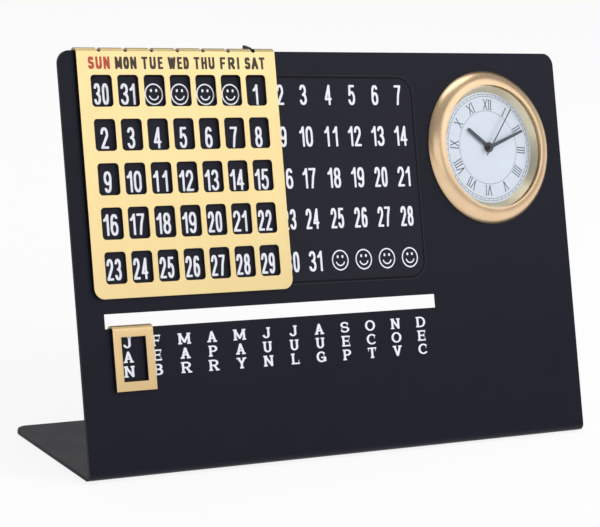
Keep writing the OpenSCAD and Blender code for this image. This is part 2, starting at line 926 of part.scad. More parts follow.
// Centre wheel on the tube that carries the cannon pinion and the minute hand
module centre_wheel() {
    rear = centre_wheel_z - 0.5 * wheel_t;
    shoulder_w = 0.4;
    color(brass)
        in_clock()
            difference() {
                union() {
                    translate([0, 0, rear])
                        cylinder(r = centre_tube_r, h = minute_z + hand_t - rear);
                    translate([0, 0, centre_wheel_z])
                        gear(centre_teeth, centre_module, centre_phase, wheel_t);
                    translate([0, 0, centre_wheel_z])
                        cylinder(r = centre_tube_r + shoulder_w, h = plate_z0 - shoulder_gap - centre_wheel_z);
                    translate([0, 0, minute_wheel_z])
                        pinion(cannon_teeth, motion_module, 0, wheel_t);
                }
                translate([0, 0, rear - over])
                    cylinder(r = centre_bore, h = minute_z - rear + 2 * over + hand_t);
            }
}

module minute_wheel() {
    top = hour_wheel_z + wheel_t;
    color("ivory")
        in_clock()
            translate([minute_place[0], minute_place[1], 0])
                difference() {
                    union() {
                        translate([0, 0, minute_wheel_z])
                            gear(minute_teeth, motion_module, minute_phase, wheel_t);
                        translate([0, 0, minute_wheel_z])
                            pinion(pinion_teeth, hour_module, 0, top - minute_wheel_z);
                    }
                    translate([0, 0, minute_wheel_z - over])
                        cylinder(r = stud_r + running_gap, h = top - minute_wheel_z + 2 * over);
                }
}

module hour_wheel() {
    top = hour_z + hand_t;
    color(brass)
        in_clock()
            difference() {
                union() {
                    translate([0, 0, hour_wheel_z])
                        gear(hour_teeth, hour_module, hour_phase, wheel_t);
                    translate([0, 0, hour_wheel_z])
                        cylinder(r = hour_tube_r, h = top - hour_wheel_z);
                }
                translate([0, 0, hour_wheel_z - over])
                    cylinder(r = hour_bore, h = top - hour_wheel_z + 2 * over);
            }
}

module setting_pinion() {
    color("ivory")
        in_clock()
            translate([setting_place[0], setting_place[1], minute_wheel_z])
                difference() {
                    gear(setting_teeth, motion_module, setting_phase, wheel_t, 0.18, 0.07);
                    translate([0, 0, -over])
                        cylinder(r = knob_arbor_r + press_gap, h = wheel_t + 2 * over);
                }
}

module pivot_holes(z, h) {
    for (place = [third_place, intermediate_place, rotor_place])
        translate([place[0], place[1], z - over])
            cylinder(r = pivot_r + running_gap, h = h + 2 * over);
}

// Main plate: a disc with a rim under the dial, pillars for the bridge and a stud for the minute wheel
module movement_plate() {
    rim_top = dial_back_z - press_gap;
    rim_w = 1;
    post_inset = 0.2;
    stud_root = 0.3;
    color("dimgray")
        in_clock() {
            difference() {
                union() {
                    translate([0, 0, plate_z0]) cylinder(r = plate_r, h = plate_t);
                    translate([0, 0, plate_z0]) ring(plate_r, plate_r - rim_w, rim_top - plate_z0);
                    at_angles(pillar_angles, pillar_ring)
                        translate([0, 0, bridge_z1 + press_gap])
                            cylinder(r = pillar_r, h = plate_z0 - bridge_z1);
                }
                pivot_holes(plate_z0, plate_t);
                translate([0, 0, plate_z0 - over])
                    cylinder(r = hour_bore, h = plate_t + 2 * over);
                translate([setting_place[0], setting_place[1], plate_z0 - over])
                    cylinder(r = knob_arbor_r + running_gap, h = plate_t + 2 * over);
                at_angles(pillar_angles, pillar_ring)
                    translate([0, 0, bridge_z1 - over])
                        cylinder(r = screw_r + screw_gap, h = bridge_screw_l + screw_tip_room + over);
            }
            translate([minute_place[0], minute_place[1], plate_z1 - stud_root])
                cylinder(r = stud_r, h = hour_wheel_z + wheel_t - plate_z1 + stud_root);
            for (x = [-1, 1] * (stator_half - stator_leg_w / 2))
                translate([x, stator_y0 + stator_leg_w / 2, stator_z + stator_t + press_gap])
                    cylinder(r = stator_leg_w / 2 - post_inset, h = plate_z0 - stator_z - stator_t);
        }
}

// Bridge: the rear plate of the train, with the cup that holds the button cell
module train_bridge() {
    edge_gap = 0.2;
    cup_z0 = cell_z0 + 0.2 * cell_h;
    color("dimgray")
        in_clock()
            difference() {
                union() {
                    translate([0, 0, bridge_z0]) cylinder(r = movement_r - edge_gap, h = plate_t);
                    translate([battery_place[0], battery_place[1], cup_z0])
                        cylinder(r = cup_r, h = cup_floor_z + cup_floor_t - cup_z0);
                }
                translate([battery_place[0], battery_place[1], cell_z0 - over])
                    cylinder(r = cell_d / 2 + cell_gap, h = cup_floor_z - cell_z0 + over);
                pivot_holes(bridge_z0, plate_t);
                translate([0, 0, bridge_z0 - over])
                    cylinder(r = pivot_r + running_gap, h = plate_t + 2 * over);
                translate([setting_place[0], setting_place[1], bridge_z0 - over])
                    cylinder(r = knob_arbor_r + running_gap, h = plate_t + 2 * over);
                at_angles(pillar_angles, pillar_ring)
                    translate([0, 0, bridge_z0 - over])
                        cylinder(r = screw_r + screw_gap, h = plate_t + 2 * over);
            }
}

module bridge_screws() {
    color(steel)
        in_clock()
            at_angles(pillar_angles, pillar_ring)
                translate([0, 0, bridge_z0 - press_gap])
                    screw(plate_t + bridge_screw_l);
}

// Soft-iron plate round the rotor, with two legs that reach under the coil's core
module stator() {
    color(steel)
        in_clock()
            translate([0, 0, stator_z])
                linear_extrude(stator_t)
                    difference() {
                        union() {
                            translate([-stator_half, stator_y0])
                                square([2 * stator_half, stator_y1 - stator_y0]);
                            for (x = [-stator_half, stator_half - stator_leg_w])
                                translate([x, stator_y0])
                                    square([stator_leg_w, stator_top - stator_y0]);
                        }
                        translate(rotor_place) circle(stator_hole_r);
                    }
}

module coil_core() {
    color(steel)
        in_clock()
            translate([-stator_half, coil_y - core_w / 2, stator_z + stator_t])
                cube([2 * stator_half, core_w, core_t]);
}

module coil_section(r) {
    difference() {
        circle(r);
        square([core_t, core_w], center = true);
    }
}

// Spool round the core: a thin tube between two flanges
module coil_bobbin() {
    color("ivory")
        in_clock()
            translate([-coil_l / 2 - bobbin_t, coil_y, coil_z])
                rotate([0, 90, 0]) {
                    linear_extrude(coil_l + 2 * bobbin_t) coil_section(bobbin_r);
                    linear_extrude(bobbin_t) coil_section(coil_r);
                    translate([0, 0, coil_l + bobbin_t])
                        linear_extrude(bobbin_t) coil_section(coil_r);
                }
}

module coil_winding() {
    flange_over = 0.15;
    color("sienna")
        in_clock()
            translate([-coil_l / 2, coil_y, coil_z])
                rotate([0, 90, 0])
                    ring(coil_r - flange_over, bobbin_r + press_gap, coil_l);
}

module circuit_board() {
    color("darkgreen")
        in_clock()
            translate([board_x, board_y, bridge_z0 - board_t - press_gap])
                cube([board_w, board_h, board_t]);
}

// Sealed metal can of the timing crystal, lying on the board
module quartz_can() {
    can_l = 6;
    color("silver")
        in_clock()
            translate([
                board_x + 2 * can_r,
                board_y + board_h - can_r - can_inset,
                bridge_z0 - board_t - can_r - 2 * press_gap
            ])
                rotate([0, 90, 0])
                    cylinder(r = can_r, h = can_l);
}

// Round blob of resin over the timing circuit
module circuit_chip() {
    blob_r = 2;
    blob_h = 0.9;
    ball_r = (blob_r * blob_r + blob_h * blob_h) / (2 * blob_h);
    color("black")
        in_clock()
            translate([
                board_x + board_w / 2,
                board_y + blob_r + can_inset,
                bridge_z0 - board_t - 2 * press_gap
            ])
                intersection() {
                    translate([0, 0, ball_r - blob_h]) sphere(ball_r);
                    translate([-blob_r, -blob_r, -blob_h]) cube([2 * blob_r, 2 * blob_r, blob_h]);
                }
}

module battery() {
    color(steel)
        in_clock()
            translate([battery_place[0], battery_place[1], cell_z0])
                cylinder(r = cell_d / 2, h = cell_h);
}

// Round leaf between the hatch's boss and the cell's flat face
module plus_contact() {
    inset = 1;
    color(brass)
        in_clock()
            translate([battery_place[0], battery_place[1], plus_z])
                cylinder(r = cell_d / 2 - inset, h = leaf_t);
}

module minus_contact() {
    inset = 1.5;
    color(brass)
        in_clock()
            translate([battery_place[0], battery_place[1], cell_z1 + press_gap])
                cylinder(r = cell_d / 2 - inset, h = minus_t);
}

stand();
date_sheet();
date_slider();
month_cursor();
clock_bezel();
clock_lens();
lens_ring();
dial();
hour_hand();
minute_hand();
second_hand();
clock_case();
grip_ring();
back_cover();
cover_screws();
battery_hatch();
set_knob();
movement_plate();
train_bridge();
bridge_screws();
rotor();
intermediate_wheel();
second_wheel();
third_wheel();
centre_wheel();
minute_wheel();
hour_wheel();
setting_pinion();
stator();
coil_core();
coil_bobbin();
coil_winding();
circuit_board();
quartz_can();
circuit_chip();
battery();
plus_contact();
minus_contact();
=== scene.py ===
"""Looks of the perpetual desk calendar: eased sheet edges, printed figures and names, finishes, light and camera.

Lengths are written in millimetres and turned into metres where a mesh is made.
"""
import json
import math

import bmesh
import bpy
from mathutils import Matrix, Vector
from mathutils.geometry import convex_hull_2d, delaunay_2d_cdt

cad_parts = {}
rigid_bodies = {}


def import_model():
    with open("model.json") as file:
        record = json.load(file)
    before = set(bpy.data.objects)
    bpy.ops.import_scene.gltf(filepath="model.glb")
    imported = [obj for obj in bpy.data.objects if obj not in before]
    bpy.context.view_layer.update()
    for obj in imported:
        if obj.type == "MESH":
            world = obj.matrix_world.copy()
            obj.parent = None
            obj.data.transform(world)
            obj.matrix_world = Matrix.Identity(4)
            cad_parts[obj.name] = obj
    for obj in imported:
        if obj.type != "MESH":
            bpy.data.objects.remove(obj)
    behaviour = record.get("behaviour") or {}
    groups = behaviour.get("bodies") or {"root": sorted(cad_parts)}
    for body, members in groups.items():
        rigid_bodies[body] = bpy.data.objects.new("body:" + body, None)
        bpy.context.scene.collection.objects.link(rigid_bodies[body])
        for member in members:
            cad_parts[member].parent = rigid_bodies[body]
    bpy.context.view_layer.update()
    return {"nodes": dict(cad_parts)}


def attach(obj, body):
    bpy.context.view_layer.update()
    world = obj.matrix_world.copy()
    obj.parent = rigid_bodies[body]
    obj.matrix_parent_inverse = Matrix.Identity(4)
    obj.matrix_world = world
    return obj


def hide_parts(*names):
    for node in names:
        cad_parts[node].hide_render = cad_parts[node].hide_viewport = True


for leftover in list(bpy.data.objects):
    bpy.data.objects.remove(leftover)

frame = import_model()
nodes = frame["nodes"]

MM = 0.001

# ---- places on the object, in millimetres ----

# FOOT_Y is where the panel's face, drawn straight on, would meet the desk.
PANEL_W = 190.037
FOOT_Y = -23.7429
LEAN = math.radians(21.6)
CLOCK = (159.094, 94.67)
CLOCK_TURN = math.radians(-4.7)

# On the panel x runs along it, y up its slope and z out of its face.
ON_PANEL = Matrix((
    (1, 0, 0, -PANEL_W / 2),
    (0, math.sin(LEAN), -math.cos(LEAN), FOOT_Y),
    (0, math.cos(LEAN), math.sin(LEAN), 0),
    (0, 0, 0, 1),
))
ON_CLOCK = ON_PANEL @ Matrix.Translation((*CLOCK, 0)) @ Matrix.Rotation(CLOCK_TURN, 4, "Z")
CLOCK_CENTRE = ON_CLOCK.translation * MM
CLOCK_AXIS = (ON_CLOCK.to_3x3() @ Vector((0, 0, 1))).normalized()

# The printed sheet: its middle and half its size on the panel, its corners and how far it is turned.
SHEET_MIDDLE = (68.6, 86.15)
SHEET_HALF = (60.9, 32.2)
SHEET_CORNER = 6.0
SHEET_TURN = math.radians(-0.4)
ON_SHEET = ON_PANEL @ Matrix.Translation((*SHEET_MIDDLE, 0)) @ Matrix.Rotation(SHEET_TURN, 4, "Z")


def face_height(node, axis_frame=ON_PANEL):
    """How far a piece stands out of the panel's face, in millimetres."""
    back = axis_frame.inverted()
    return max((back @ (v.co / MM)).z for v in nodes[node].data.vertices)


# ---- finishes ----

# The clouds of a coat in millimetres with their detail, and how close turned rings and glass weave lie.
COAT_CLOUD = 22
COAT_SPREAD = 3
RINGS_PER_METRE = 9000.0
WEAVE_PER_METRE = 2600.0


def paint(red, green, blue):
    """A colour written as on a screen, 0 to 255, as the light it gives back."""
    def light(level):
        level /= 255
        return level / 12.92 if level <= 0.04045 else ((level + 0.055) / 1.055) ** 2.4
    return (light(red), light(green), light(blue), 1.0)


class Amount:
    """A number or colour that changes over a surface. Sums on it add their own nodes."""

    def __init__(self, finish, socket):
        self.finish = finish
        self.socket = socket

    def _sum(self, operation, first, second):
        return self.finish.node("ShaderNodeMath", {"operation": operation}, {0: first, 1: second})

    def __add__(self, other):
        return self._sum("ADD", self, other)

    def __sub__(self, other):
        return self._sum("SUBTRACT", self, other)

    def __rsub__(self, other):
        return self._sum("SUBTRACT", other, self)

    def __mul__(self, other):
        return self._sum("MULTIPLY", self, other)

    __radd__ = __add__
    __rmul__ = __mul__


class Finish:
    """One finish, built node by node."""

    def __init__(self, name, tree=None):
        if tree is None:
            self.material = bpy.data.materials.new(name)
            self.material.use_nodes = True
            tree = self.material.node_tree
        self.tree = tree
        self.tree.nodes.clear()

    def node(self, kind, settings=(), sockets=(), out=0):
        made = self.tree.nodes.new(kind)
        for key, value in dict(settings).items():
            if key == "stops":
                ramp = made.color_ramp.elements
                while len(ramp) < len(value):
                    ramp.new(1.0)
                for stop, (position, level) in zip(ramp, value):
                    stop.position = position
                    stop.color = (level, level, level, 1)
            else:
                setattr(made, key, value)
        for key, value in dict(sockets).items():
            if isinstance(value, Amount):
                self.tree.links.new(value.socket, made.inputs[key])
            else:
                made.inputs[key].default_value = value
        return Amount(self, made.outputs[out]) if len(made.outputs) else None

    def place(self):
        return self.node("ShaderNodeTexCoord", out="Object")

    def vector_sum(self, operation, *vectors):
        """Another vector from one or two vectors."""
        return self.node("ShaderNodeVectorMath", {"operation": operation}, dict(enumerate(vectors)))

    def dot(self, first, second):
        return self.node("ShaderNodeVectorMath", {"operation": "DOT_PRODUCT"}, {0: first, 1: second}, "Value")

    def length(self, vector):
        return self.node("ShaderNodeVectorMath", {"operation": "LENGTH"}, {0: vector}, "Value")

    def along(self, stretch):
        """The place on the piece, drawn out by three factors."""
        return self.vector_sum("MULTIPLY", self.place(), stretch)

    def grain(self, size, detail=2.0, where=None):
        """Soft random marks of about this size in millimetres, 0 to 1."""
        where = where or self.place()
        return self.node("ShaderNodeTexNoise", {}, {"Vector": where, "Scale": 1 / (size * MM), "Detail": detail})

    def ramp(self, amount, *stops):
        return self.node("ShaderNodeValToRGB", {"stops": stops}, {0: amount})

    def blend(self, amount, first, second):
        return self.node("ShaderNodeMix", {"data_type": "RGBA"}, {0: amount, 6: first, 7: second}, 2)

    def bump(self, height, depth, strength=1.0):
        """A relief whose full height is depth millimetres."""
        return self.node("ShaderNodeBump", {}, {"Height": height, "Distance": depth * MM, "Strength": strength})

    def surface(self, **sockets):
        words = {key.replace("_", " "): value for key, value in sockets.items()}
        return self.node("ShaderNodeBsdfPrincipled", {}, words)

    def done(self, shader):
        self.node("ShaderNodeOutputMaterial", {}, {"Surface": shader})
        return self.material


def tone(colour, factor):
    """The same colour, lighter or darker."""
    return (colour[0] * factor, colour[1] * factor, colour[2] * factor, 1.0)


def sprayed(name, colour, roughness, shine):
    """Satin enamel with the faint orange peel of a sprayed coat."""
    f = Finish(name)
    cloud = f.grain(COAT_CLOUD, COAT_SPREAD)
    colour_here = f.blend(cloud, tone(colour, 0.86), tone(colour, 1.14))
    peel = f.grain(0.55, 1)
    dust = f.ramp(f.grain(1.6, 4), (0.66, 0), (0.74, 1))
    return f.done(f.surface(
        Base_Color=colour_here, Specular_IOR_Level=shine,
        Roughness=roughness + 0.12 * (f.grain(6, 3) - 0.5) + 0.08 * dust,
        Normal=f.bump(peel, 0.012, 0.5)))


def sheet_print(name, colour, shade_line_colour, rim, roughness, shine):
    """The printed sheet: satin black, with a dark line of painted shade just inside its edge and a paler rim of
    painted highlight round it.
    """
    f = Finish(name)
    middle = ON_SHEET.translation * MM
    from_middle = f.vector_sum("SUBTRACT", f.place(), middle)
    across, up = (
        f.dot(from_middle, ON_SHEET.to_3x3() @ Vector(way)) for way in ((1, 0, 0), (0, 1, 0)))
    flat_place = f.node("ShaderNodeCombineXYZ", {}, {0: across, 1: up})
    folded = f.vector_sum("ABSOLUTE", flat_place)
    straight = [(half - SHEET_CORNER) * MM for half in SHEET_HALF]
    beyond = f.vector_sum("SUBTRACT", folded, (*straight, 0))
    corner = f.vector_sum("MAXIMUM", beyond, (0, 0, 0))
    # Reach is 0 inside the corners' centres and 1 at the sheet's edge.
    reach = f.length(corner) * (1 / (SHEET_CORNER * MM))
    # Painted shade: a dark line just inside the sheet's edge, where a recessed edge would lie in shade.
    painted_shade_line = f.ramp(reach, (0.8, 0), (0.87, 1), (0.93, 1), (0.96, 0))
    # Painted highlight: a paler rim at the very edge, where the edge would catch the light.
    painted_highlight_rim = f.ramp(reach, (0.93, 0), (0.965, 1))
    cloud = f.grain(COAT_CLOUD, COAT_SPREAD)
    field = f.blend(cloud, tone(colour, 0.9), tone(colour, 1.1))
    return f.done(f.surface(
        Base_Color=f.blend(painted_highlight_rim, f.blend(painted_shade_line, field, shade_line_colour), rim), Specular_IOR_Level=shine,
        Roughness=roughness + 0.1 * (f.grain(5, 3) - 0.5) + 0.12 * painted_shade_line,
        Normal=f.bump(f.grain(0.4, 1), 0.008, 0.5)))


def drawn_gilt(name, light, deep, edge, roughness):
    """Gilt sheet with the fine lines of its rolling, with painted shade on its cut edges and along its fold."""
    f = Finish(name)
    out = f.node("ShaderNodeTexCoord", out="Normal")
    face_out = ON_PANEL.to_3x3() @ Vector((0, 0, 1))
    flatness = f.dot(out, face_out)
    # Painted shade: faces standing across the panel's face, the cut edges and the fold, take the darker edge colour.
    edge_shade = f.ramp(flatness * flatness, (0.15, 1), (0.6, 0))
    lines = f.grain(1, 3, f.along((0.03, 1.6, 1.6)))
    cloud = f.grain(35, 2)
    marks = f.grain(3.5, 4)
    return f.done(f.surface(
        Base_Color=f.blend(edge_shade, f.blend(cloud * 0.7 + lines * 0.3, deep, light), edge), Metallic=1.0,
        Roughness=roughness + 0.09 * (lines - 0.5) + 0.08 * (marks - 0.5),
        Normal=f.bump(lines, 0.004, 0.5)))


def turned_gilt(name, light, deep, roughness):
    """Gilt with the fine rings that turning leaves round the clock's axis."""
    f = Finish(name)
    from_axis = f.vector_sum("SUBTRACT", f.place(), CLOCK_CENTRE)
    radius = f.length(f.vector_sum("CROSS_PRODUCT", from_axis, CLOCK_AXIS))
    rings = f.node(
        "ShaderNodeTexNoise", {"noise_dimensions": "1D"}, {"W": radius, "Scale": RINGS_PER_METRE, "Detail": 2.0})
    cloud = f.grain(7, 3)
    return f.done(f.surface(
        Base_Color=f.blend(cloud, deep, light), Metallic=1.0,
        Roughness=roughness + 0.1 * (rings - 0.5) + 0.12 * (cloud - 0.5),
        Normal=f.bump(rings, 0.003, 0.6)))


def moulded(name, colour, roughness, grain=0.28, depth=0.012):
    """Moulded plastic with a fine spark-eroded grain."""
    f = Finish(name)
    cloud = f.grain(9, 3)
    fine = f.grain(grain, 2)
    return f.done(f.surface(
        Base_Color=f.blend(cloud, tone(colour, 0.88), tone(colour, 1.1)),
        Roughness=roughness + 0.1 * (fine - 0.5) + 0.08 * (cloud - 0.5),
        Normal=f.bump(fine, depth, 0.6)))


def worked_metal(name, colour, roughness, stretch):
    """Bare metal with the lines of its rolling or turning."""
    f = Finish(name)
    lines = f.grain(0.5, 3, f.along(stretch))
    stain = f.grain(4, 4)
    return f.done(f.surface(
        Base_Color=f.blend(stain, tone(colour, 0.82), colour), Metallic=1.0,
        Roughness=roughness + 0.14 * (lines - 0.5) + 0.1 * (stain - 0.5),
        Normal=f.bump(lines, 0.004, 0.6)))


def wound_wire(name, colour, wire):
    """Enamelled copper wire wound in close turns along the coil, darker between the turns as painted shade."""
    f = Finish(name)
    coil_axis = (ON_CLOCK.to_3x3() @ Vector((1, 0, 0))).normalized()
    along = f.dot(f.place(), coil_axis)
    turns = f.node("ShaderNodeMath", {"operation": "SINE"}, {0: along * (2 * math.pi / (wire * MM))})
    height = turns * 0.5 + 0.5
    return f.done(f.surface(
        # Painted shade: the colour drops to about a third in the hollows between turns.
        Base_Color=f.blend(height, tone(colour, 0.35), colour), Metallic=0.85,
        Roughness=0.3 + 0.15 * f.grain(1.5, 3), Normal=f.bump(height, wire / 3, 0.8)))


def clear_lens(name):
    """Clear acrylic: seen through, with a soft gloss."""
    f = Finish(name)
    scratches = f.ramp(f.grain(0.9, 5, f.along((1, 0.3, 2))), (0.62, 0), (0.7, 1))
    gloss = f.node("ShaderNodeBsdfGlossy", {}, {"Color": (1, 1, 1, 1), "Roughness": 0.04 + 0.1 * scratches})
    through = f.node("ShaderNodeBsdfTransparent", {}, {"Color": (0.985, 0.99, 1.0, 1)})
    share = f.node("ShaderNodeLayerWeight", {}, {"Blend": 0.12}, "Fresnel") * 0.35
    return f.done(f.node("ShaderNodeMixShader", {}, {0: share, 1: through, 2: gloss}))


def ink(name, colour, roughness=0.5):
    """Screen-printed ink, a little uneven in its cover."""
    f = Finish(name)
    cover = f.grain(0.8, 4)
    return f.done(f.surface(
        Base_Color=f.blend(cover, tone(colour, 0.93), tone(colour, 1.02)),
        Roughness=roughness + 0.1 * (cover - 0.5), Normal=f.bump(f.grain(0.25, 1), 0.004, 0.4)))


def circuit_board(name, colour):
    """Lacquered board with its glass weave showing faintly."""
    f = Finish(name)
    weave = f.node("ShaderNodeTexChecker", {}, {"Vector": f.place(), "Scale": WEAVE_PER_METRE}, "Fac")
    cloud = f.grain(3, 2)
    return f.done(f.surface(
        Base_Color=f.blend(cloud * 0.6 + weave * 0.4, tone(colour, 0.8), tone(colour, 1.2)),
        Roughness=0.32 + 0.1 * cloud, Normal=f.bump(weave, 0.01, 0.5)))


BLACK = paint(18, 20, 33)
SHEET_BLACK = paint(37, 37, 47)
GILT_LIGHT = paint(247, 230, 171)
GILT_DEEP = paint(242, 209, 152)
# The painted shade colour for the gilt's cut edges and fold.
GILT_EDGE_SHADE = paint(160, 142, 118)
BEZEL_LIGHT = paint(242, 215, 177)
BEZEL_DEEP = paint(226, 190, 152)

black_enamel = sprayed("black_enamel", BLACK, 0.36, 0.16)
# paint(20, 20, 26) is the painted shade along the sheet's edge line and paint(48, 49, 58) its painted highlight rim.
printed_sheet = sheet_print("printed_sheet", SHEET_BLACK, paint(20, 20, 26), paint(48, 49, 58), 0.5, 0.07)
gilt_sheet = drawn_gilt("gilt_sheet", GILT_LIGHT, GILT_DEEP, GILT_EDGE_SHADE, 0.34)
# The cursor's gilt is the slider's gilt made darker: painted shade for its lower place on the panel.
cursor_gilt_shaded = drawn_gilt("cursor_gilt_shaded", paint(238, 210, 158), paint(226, 190, 142), GILT_EDGE_SHADE, 0.36)
gilt_ring = turned_gilt("gilt_ring", BEZEL_LIGHT, BEZEL_DEEP, 0.29)
gilt_wall = turned_gilt("gilt_wall", paint(240, 230, 200), paint(214, 202, 172), 0.34)
lens_clear = clear_lens("lens_clear")
dial_paint = ink("dial_paint", paint(224, 231, 240), 0.42)
hand_paint = sprayed("hand_paint", paint(90, 92, 100), 0.7, 0.08)
case_moulding = moulded("case_moulding", paint(30, 31, 33), 0.5)
ring_rubber = moulded("ring_rubber", paint(22, 22, 23), 0.75, 0.5, 0.03)
bright_steel = worked_metal("bright_steel", paint(205, 206, 205), 0.26, (0.2, 3, 3))
grey_plastic = moulded("grey_plastic", paint(120, 124, 128), 0.42)
white_plastic = moulded("white_plastic", paint(232, 229, 218), 0.38)
dark_plastic = moulded("dark_plastic", paint(58, 60, 66), 0.6, 0.3, 0.006)
magnet_grey = moulded("magnet_grey", paint(70, 68, 70), 0.45, 0.4, 0.02)
brass = worked_metal("brass", paint(214, 178, 104), 0.27, (1, 1, 1))
copper_wire = wound_wire("copper_wire", paint(196, 106, 62), 0.16)
board_lacquer = circuit_board("board_lacquer", paint(36, 92, 58))
chip_resin = moulded("chip_resin", paint(20, 20, 21), 0.3, 0.2, 0.006)
white_ink = ink("white_ink", paint(238, 240, 250))
brown_ink = ink("brown_ink", paint(60, 45, 38))
red_ink = ink("red_ink", paint(190, 76, 56))
dial_ink = ink("dial_ink", paint(44, 46, 54))

DRESS = {
    gilt_ring: ("clock_bezel",),
    gilt_wall: ("lens_ring",),
    lens_clear: ("clock_lens",),
    dial_paint: ("dial",),
    hand_paint: ("hour_hand", "minute_hand", "second_hand"),
    case_moulding: ("clock_case", "back_cover", "battery_hatch", "set_knob"),
    ring_rubber: ("grip_ring",),
    bright_steel: ("battery", "bridge_screws", "coil_core", "cover_screws", "quartz_can", "stator"),
    grey_plastic: ("movement_plate", "train_bridge"),
    white_plastic: (
        "intermediate_wheel", "third_wheel", "minute_wheel", "setting_pinion", "coil_bobbin"),
    dark_plastic: ("second_wheel",),
    magnet_grey: ("rotor",),
    brass: ("centre_wheel", "hour_wheel", "plus_contact", "minus_contact"),
    copper_wire: ("coil_winding",),
    board_lacquer: ("circuit_board",),
    chip_resin: ("circuit_chip",),
}
for finish, dressed in DRESS.items():
    for node in dressed:
        for place in nodes[node].material_slots:
            place.material = finish


# ---- sheet pieces with eased edges ----

# Points nearer than WELD metres become one. Faces that meet flatter than FLAT_ANGLE become one, and edges
# sharper than SHARP_ANGLE are eased.
WELD = 2e-7
FLAT_ANGLE = math.radians(0.2)
SHARP_ANGLE = math.radians(40)


def add_piece(name, mesh, finish, body):
    """Puts a mesh in the scene as a piece that rides on a body."""
    piece = bpy.data.objects.new(name, mesh)
    bpy.context.scene.collection.objects.link(piece)
    mesh.materials.clear()
    mesh.materials.append(finish)
    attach(piece, body)
    return piece


def eased(node, name, width, finish, body):
    """A sheet piece whose cut edges are eased by width millimetres."""
    mesh = nodes[node].data.copy()
    mesh.name = name
    work = bmesh.new()
    work.from_mesh(mesh)
    bmesh.ops.remove_doubles(work, verts=work.verts, dist=WELD)
    bmesh.ops.dissolve_limit(work, angle_limit=FLAT_ANGLE, verts=work.verts, edges=work.edges)
    work.to_mesh(mesh)
    work.free()
    if "custom_normal" in mesh.attributes:
        mesh.attributes.remove(mesh.attributes["custom_normal"])
    piece = add_piece(name, mesh, finish, body)
    mesh.shade_smooth()
    easing = piece.modifiers.new("eased_edges", "BEVEL")
    easing.width = width * MM
    easing.segments = 2
    easing.limit_method = "ANGLE"
    easing.angle_limit = SHARP_ANGLE
    easing.harden_normals = True
    easing.use_clamp_overlap = True
    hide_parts(node)


STAND_EASE = 0.14
GILT_EASE = 0.07
eased("stand", "stand_sheet", STAND_EASE, black_enamel, "stand")
eased("date_slider", "slider_sheet", GILT_EASE, gilt_sheet, "date_slider")
eased("month_cursor", "cursor_sheet", GILT_EASE, cursor_gilt_shaded, "month_cursor")


def sheet_outline(inset, steps=8):
    """The printed sheet's outline, drawn in by inset millimetres."""
    half_w, half_h = SHEET_HALF
    radius = SHEET_CORNER - inset
    points = []
    for quarter, (side, up) in enumerate(((1, 1), (-1, 1), (-1, -1), (1, -1))):
        for i in range(steps + 1):
            turn = math.radians(90 * (quarter + i / steps))
            points.append((
                side * (half_w - SHEET_CORNER) + radius * math.cos(turn),
                up * (half_h - SHEET_CORNER) + radius * math.sin(turn)))
    return points


def printed_field(thickness, ease=0.08):
    """The printed sheet with an eased edge, lying on the panel."""
    work = bmesh.new()
    rings = [
        [work.verts.new(ON_SHEET @ Vector((x, y, height)) * MM) for x, y in sheet_outline(inset)]
        for inset, height in ((0, 0), (0, thickness - ease), (ease, thickness))]
    work.faces.new(reversed(rings[0]))
    work.faces.new(rings[-1])
    for low, high in zip(rings, rings[1:]):
        for i in range(len(low)):
            j = (i + 1) % len(low)
            work.faces.new((low[i], low[j], high[j], high[i]))
    mesh = bpy.data.meshes.new("date_field")
    work.to_mesh(mesh)
    work.free()
    return mesh


sheet_face = face_height("date_sheet")
date_field = add_piece("date_field", printed_field(sheet_face), printed_sheet, "stand")
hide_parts("date_sheet")


# ---- figures and letters ----


def arc(x, y, across, up, start, end, steps=10):
    """Points of an oval's arc, angles in degrees from the right."""
    turns = [math.radians(start + (end - start) * i / steps) for i in range(steps + 1)]
    return [(x + across * math.cos(t), y + up * math.sin(t)) for t in turns]


def oval(x, y, across, up, steps=24):
    return arc(x, y, across, up, 0, 360, steps)


UPPER_BOWL_B = arc(0.5, 0.76, 0.42, 0.24, 90, -90)
LOWER_BOWL_B = arc(0.5, 0.26, 0.5, 0.26, 90, -90)
BOWL_P = arc(0.5, 0.74, 0.5, 0.26, 90, -90)
LOWER_SIX = oval(0.5, 0.3, 0.5, 0.3)
SIX = [arc(0.53, 0.7, 0.47, 0.3, 35, 180) + [(0.0, 0.3)], LOWER_SIX]

